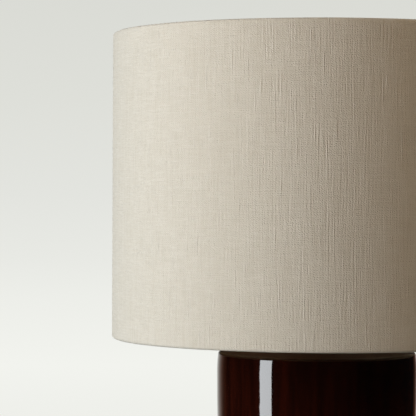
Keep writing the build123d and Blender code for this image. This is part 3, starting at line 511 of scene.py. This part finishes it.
def turned_blank(name, outline, segments, row_step, material):
    """A closed turned form from (radius, height, thread share) corners, in rows no taller than row_step."""
    points = [outline[0]]
    for start, end in zip(outline, outline[1:]):
        rows = max(1, ceil(hypot(end[0] - start[0], end[1] - start[1]) / row_step))
        points += [[a + (b - a) * i / rows for a, b in zip(start, end)] for i in range(1, rows + 1)]
    form = bmesh.new()
    share = form.verts.layers.float.new("threaded")
    loops = []
    for i in range(segments):
        turn = 2 * pi * i / segments
        loop = [form.verts.new((r * cos(turn), r * sin(turn), z)) for r, z, _ in points]
        for vert, point in zip(loop, points):
            vert[share] = point[2]
        loops.append(loop)
    for i in range(segments):
        here, after = loops[i], loops[(i + 1) % segments]
        for j in range(len(points) - 1):
            form.faces.new((here[j], after[j], after[j + 1], here[j + 1]))
    bmesh.ops.remove_doubles(form, verts=form.verts, dist=weld_distance)
    bmesh.ops.dissolve_degenerate(form, edges=form.edges, dist=weld_distance / 10)
    bmesh.ops.recalc_face_normals(form, faces=form.faces)
    mesh = bpy.data.meshes.new(name)
    form.to_mesh(mesh)
    form.free()
    return mesh_object(name, mesh, material, turned_sharp_angle)


def cut_thread(blank, tree, pitch, depth, material):
    """Runs the thread tree on a blank and keeps the result as its mesh."""
    cutter = blank.modifiers.new("thread", "NODES")
    cutter.node_group = tree
    values = {"Pitch": pitch, "Depth": depth, "Metal": material}
    for socket in tree.interface.items_tree:
        if socket.name in values:
            cutter[socket.identifier] = values[socket.name]
    as_plain_mesh(blank).set_sharp_from_angle(angle=radians(thread_sharp_angle))
    return blank


screw_thread = thread_nodes()

# Bulb cap: rolled sheet, its round thread running out below a plain skirt.
cap_low, cap_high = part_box("bulb_cap")
cap_r = cap_high.x
cap_pitch, cap_thread_depth, cap_sheet = 3.63 * MM, 0.6 * MM, 0.6 * MM
cap_skirt, cap_run_out = 4.0 * MM, 2.0 * MM
cap_segments, cap_rows_per_pitch = 72, 10
cap_inner_r = cap_r - cap_thread_depth - cap_sheet
cap_blank = turned_blank("bulb_cap_screw", [
    (cap_inner_r, cap_low.z, 0), (cap_r - cap_thread_depth, cap_low.z, 0),
    (cap_r, cap_low.z + cap_run_out, 1), (cap_r, cap_high.z - cap_skirt - cap_run_out, 1),
    (cap_r, cap_high.z - cap_skirt, 0), (cap_r, cap_high.z, 0), (cap_inner_r, cap_high.z, 0),
    (cap_inner_r, cap_low.z, 0)], cap_segments, cap_pitch / cap_rows_per_pitch, finishes["bulb_nickel"])
bulb_cap_screw = cut_thread(cap_blank, screw_thread, cap_pitch, cap_thread_depth, finishes["bulb_nickel"])
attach(bulb_cap_screw, "bulb")
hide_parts("bulb_cap")

# Screw post: riveted head under the harp's pad, shank in it, flange that carries the spider, and above a
# plain neck a thread of 27 turns to the inch.
post_low, post_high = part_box("harp_stud")
pad_top_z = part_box("harp_hoop")[1].z
post_head_r, post_head_t, post_head_chamfer = 4.0 * MM, 1.5 * MM, 0.4 * MM
post_shank_r, post_flange_r, post_flange_t = 2.3 * MM, post_high.x, 2.5 * MM
post_thread_r, post_thread_depth, post_tip_chamfer = 3.175 * MM, 0.5 * MM, 0.6 * MM
post_pitch = 25.4 / 27 * MM
post_segments, post_rows_per_pitch = 48, 9
flange_top_z = pad_top_z + post_flange_t
neck_top_z = flange_top_z + 2 * post_pitch
full_thread_z = flange_top_z + 3 * post_pitch
post_blank = turned_blank("finial_post", [
    (0, post_low.z, 0), (post_head_r - post_head_chamfer, post_low.z, 0),
    (post_head_r, post_low.z + post_head_chamfer, 0), (post_head_r, post_low.z + post_head_t, 0),
    (post_shank_r, post_low.z + post_head_t, 0), (post_shank_r, pad_top_z, 0),
    (post_flange_r, pad_top_z, 0), (post_flange_r, flange_top_z, 0), (post_thread_r, flange_top_z, 0),
    (post_thread_r, neck_top_z, 0), (post_thread_r, full_thread_z, 1),
    (post_thread_r, post_high.z - post_tip_chamfer, 1), (post_thread_r - post_tip_chamfer, post_high.z, 0),
    (0, post_high.z, 0)], post_segments, post_pitch / post_rows_per_pitch, finishes["brass"])
finial_post = cut_thread(post_blank, screw_thread, post_pitch, post_thread_depth, finishes["brass"])
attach(finial_post, "shade")
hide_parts("harp_stud")


# Floor, world and lamps

floor_r, floor_fade_r = 1.4, 0.75


def floor_material():
    # Pale matte table top: it fades out at its rim, is fainter in gloss and is clear from below.
    gloss_share, lift = 0.35, 0.6
    material = bpy.data.materials.new("pale_floor")
    material.use_nodes = True
    tree = material.node_tree
    tree.nodes.clear()
    place = add_node(tree, "ShaderNodeTexCoord").outputs["Object"]
    reach = add_node(tree, "ShaderNodeVectorMath", {0: place}, operation="LENGTH").outputs["Value"]
    fade = add_node(tree, "ShaderNodeMapRange",
                    {"Value": reach, "From Min": floor_fade_r, "From Max": floor_r},
                    interpolation_type="SMOOTHSTEP")
    matte = add_node(tree, "ShaderNodeBsdfDiffuse", {"Color": srgb("#8a8985")})
    rays = add_node(tree, "ShaderNodeLightPath").outputs
    seen = add_node(tree, "ShaderNodeMath",
                    {0: rays["Is Glossy Ray"], 1: gloss_share, 2: rays["Is Camera Ray"]},
                    operation="MULTIPLY_ADD")
    glow = add_node(tree, "ShaderNodeEmission", {"Color": srgb("#eff0eb"), "Strength": lift})
    lifted = add_node(tree, "ShaderNodeAddShader", {0: matte, 1: glow})
    shown = add_node(tree, "ShaderNodeMixShader", {0: seen, 1: matte, 2: lifted})
    clear = add_node(tree, "ShaderNodeBsdfTransparent")
    underside = add_node(tree, "ShaderNodeNewGeometry").outputs["Backfacing"]
    away = add_node(tree, "ShaderNodeMath", {0: fade, 1: underside}, operation="MAXIMUM")
    faded = add_node(tree, "ShaderNodeMixShader", {0: away, 1: shown, 2: clear})
    add_node(tree, "ShaderNodeOutputMaterial", {"Surface": faded})
    return material


def floor():
    """A disc under the foot."""
    disc = bmesh.new()
    bmesh.ops.create_circle(disc, cap_ends=True, segments=96, radius=floor_r)
    mesh = bpy.data.meshes.new("floor")
    disc.to_mesh(mesh)
    disc.free()
    return mesh_object("floor", mesh, floor_material(), sharp_angle=30)


def around(azimuth, distance, z):
    """A point at an azimuth in degrees from the front, positive to the right."""
    return (distance * sin(radians(azimuth)), -distance * cos(radians(azimuth)), z)


def studio_world():
    """Pale backdrop, seen everywhere by the camera; as light and in reflections it stands behind the lamp."""
    horizon_z = 0.11
    lit_azimuth, lit_half_angle, lit_falloff = 190, 44, 4.0
    lit_full_z, lit_top_z = 0.2, 0.45
    world = bpy.data.worlds.new("studio")
    scene.world = world
    world.use_nodes = True
    tree = world.node_tree
    tree.nodes.clear()
    path = add_node(tree, "ShaderNodeLightPath")
    look = add_node(tree, "ShaderNodeTexCoord").outputs["Generated"]
    split = add_node(tree, "ShaderNodeSeparateXYZ", {"Vector": look})
    rise = add_node(tree, "ShaderNodeMapRange",
                    {"Value": split.outputs["Z"], "From Min": -horizon_z, "From Max": horizon_z})
    backdrop = add_node(tree, "ShaderNodeValToRGB", {"Fac": rise})
    stops = ((0.0, "#eeefea"), (0.12, "#f2f3ee"), (0.27, "#edeee9"), (0.36, "#e8e9e4"), (0.5, "#e3e4df"),
             (0.72, "#dedfd9"), (0.95, "#dadbd5"))
    bands = backdrop.color_ramp.elements
    while len(bands) < len(stops):
        bands.new(0.5)
    for band, (position, code) in zip(bands, stops):
        band.position = position
        band.color = srgb(code)
    level = add_node(tree, "ShaderNodeCombineXYZ", {"X": split.outputs["X"], "Y": split.outputs["Y"]})
    heading = add_node(tree, "ShaderNodeVectorMath", {0: level}, operation="NORMALIZE")
    back = add_node(tree, "ShaderNodeVectorMath", {0: heading, 1: around(lit_azimuth, 1, 0)},
                    operation="DOT_PRODUCT").outputs["Value"]
    near = add_node(tree, "ShaderNodeMapRange",
                    {"Value": back, "From Min": cos(radians(lit_half_angle)), "From Max": 1.0})
    sideways = add_node(tree, "ShaderNodeMath", {0: near, 1: lit_falloff}, operation="POWER")
    low = add_node(tree, "ShaderNodeMapRange",
                   {"Value": split.outputs["Z"], "From Min": lit_top_z, "From Max": lit_full_z})
    behind = add_node(tree, "ShaderNodeMath", {0: sideways, 1: low}, operation="MULTIPLY")
    edge = add_node(tree, "ShaderNodeMath", {0: near, 1: low}, operation="MULTIPLY")
    dusk = add_node(tree, "ShaderNodeMix", {"Factor": edge, "A": srgb("#161514"), "B": srgb("#8c5a40")},
                    data_type="RGBA")
    lit = add_node(tree, "ShaderNodeMix", {"Factor": behind, "A": dusk, "B": backdrop}, data_type="RGBA")
    colour = add_node(tree, "ShaderNodeMix",
                      {"Factor": path.outputs["Is Camera Ray"], "A": lit, "B": backdrop}, data_type="RGBA")
    background = add_node(tree, "ShaderNodeBackground", {"Color": colour})
    add_node(tree, "ShaderNodeOutputWorld", {"Surface": background})


def soft_light(name, place, target, width, height, radiance, tint, mirrored=False):
    """A rectangular lamp aimed at a point, its brightness given as radiance; mirrored if gloss shows it."""
    data = bpy.data.lights.new(name, "AREA")
    data.shape = "RECTANGLE"
    data.size = width
    data.size_y = height
    data.energy = radiance * pi * width * height
    data.color = srgb(tint)[:3]
    lamp = bpy.data.objects.new(name, data)
    lamp.location = place
    lamp.rotation_euler = (Vector(target) - Vector(place)).to_track_quat("-Z", "Y").to_euler()
    lamp.visible_camera = False
    lamp.visible_glossy = mirrored
    scene.collection.objects.link(lamp)


studio_world()
strip_z = 0.25
shade_middle = (0, 0, 0.48)
soft_light("strip_light", around(-59.05, 2.2, strip_z), (0, 0, strip_z),
           width=0.58, height=1.0, radiance=11.2, tint="#f8fcff", mirrored=True)
soft_light("window_light", around(-64, 2.0, 0.8), shade_middle,
           width=1.5, height=1.2, radiance=6.0, tint="#f4f2f6")
soft_light("warm_light", around(-5, 1.2, 0.95), shade_middle,
           width=0.6, height=0.6, radiance=2.5, tint="#ffcf9e")
soft_light("right_light", around(94, 1.3, 1.2), shade_middle,
           width=0.8, height=0.8, radiance=5.0, tint="#ffeeda")
soft_light("top_light", (0, 0, 2.3), shade_middle,
           width=1.0, height=1.0, radiance=0.6, tint="#fff9f0")
soft_light("back_light", around(143, 2.0, 0.85), shade_middle,
           width=1.2, height=1.2, radiance=4.6, tint="#fff8f0")
floor()


# Camera at the photograph's place

def photo_camera():
    """A long lens a little below the middle of the shade, turned left so that the lamp sits on the right."""
    place = Vector((0.0, -2.0167, 0.4755))
    yaw, pitch, roll = radians(3.084), radians(-0.357), radians(0.232)
    ahead = Vector((-sin(yaw) * cos(pitch), cos(yaw) * cos(pitch), sin(pitch)))
    level = Vector((cos(yaw), sin(yaw), 0))
    upright = level.cross(ahead)
    right = cos(roll) * level + sin(roll) * upright
    above = cos(roll) * upright - sin(roll) * level
    data = bpy.data.cameras.new("photo_camera")
    data.sensor_width = 36
    data.lens = 175.67
    camera = bpy.data.objects.new("photo_camera", data)
    camera.matrix_world = Matrix((right, above, -ahead)).transposed().to_4x4()
    camera.location = place
    scene.collection.objects.link(camera)
    scene.camera = camera


photo_camera()
